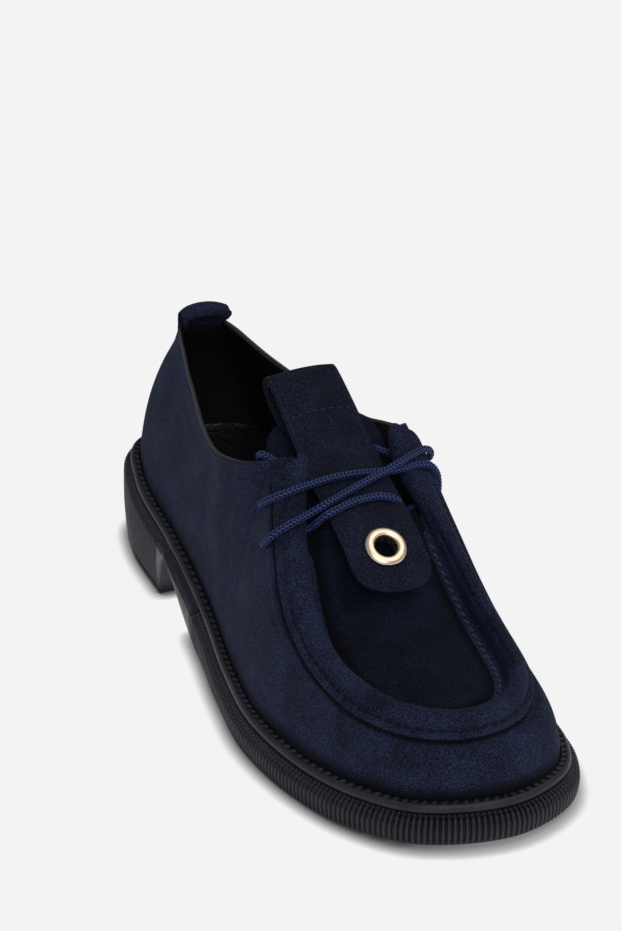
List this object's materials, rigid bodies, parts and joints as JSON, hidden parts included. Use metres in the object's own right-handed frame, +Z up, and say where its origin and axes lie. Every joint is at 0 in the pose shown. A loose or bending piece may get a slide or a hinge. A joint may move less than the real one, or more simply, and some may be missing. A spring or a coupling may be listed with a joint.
{
  "type": "lace-up loafer",
  "caption": "Right lace-up loafer in suede, with a rolled apron band, a ringed strap under crossed round laces, and a ribbed heeled rubber sole.",
  "frame": {"origin": "on the floor, under the middle of the box round the whole shoe", "axes": "the toe points to -Y, the heel to +Y, +Z is up, and the outer (lateral) side of this right shoe is at -X"},
  "size_m": [0.1033, 0.275, 0.1082],
  "materials": {
    "sole_rubber": "black moulded rubber with fine upright ribs, satin",
    "lift_rubber": "smooth black rubber top lift, satin",
    "welt_rubber": "smooth black rounded rubber with moulded stitch loops",
    "insole_leather": "black crinkled leather sock",
    "upper_suede": "navy blue suede with a short mottled nap, black lining",
    "strap_suede": "navy blue suede with a short mottled nap",
    "ring_metal": "pale gold plated ring, polished",
    "lace_cord": "round braided cord, navy blue"
  },
  "bodies": {
    "root": {"outsole": "sole_rubber", "heel_lift": "lift_rubber", "welt": "welt_rubber", "insole": "insole_leather", "upper": "upper_suede", "apron_band": "upper_suede", "tongue": "upper_suede", "strap": "strap_suede", "heel_loop": "upper_suede", "eyelet_ring": "ring_metal", "lace_crossing": "lace_cord", "lace_bar": "lace_cord"}
  },
  "joints": []
}
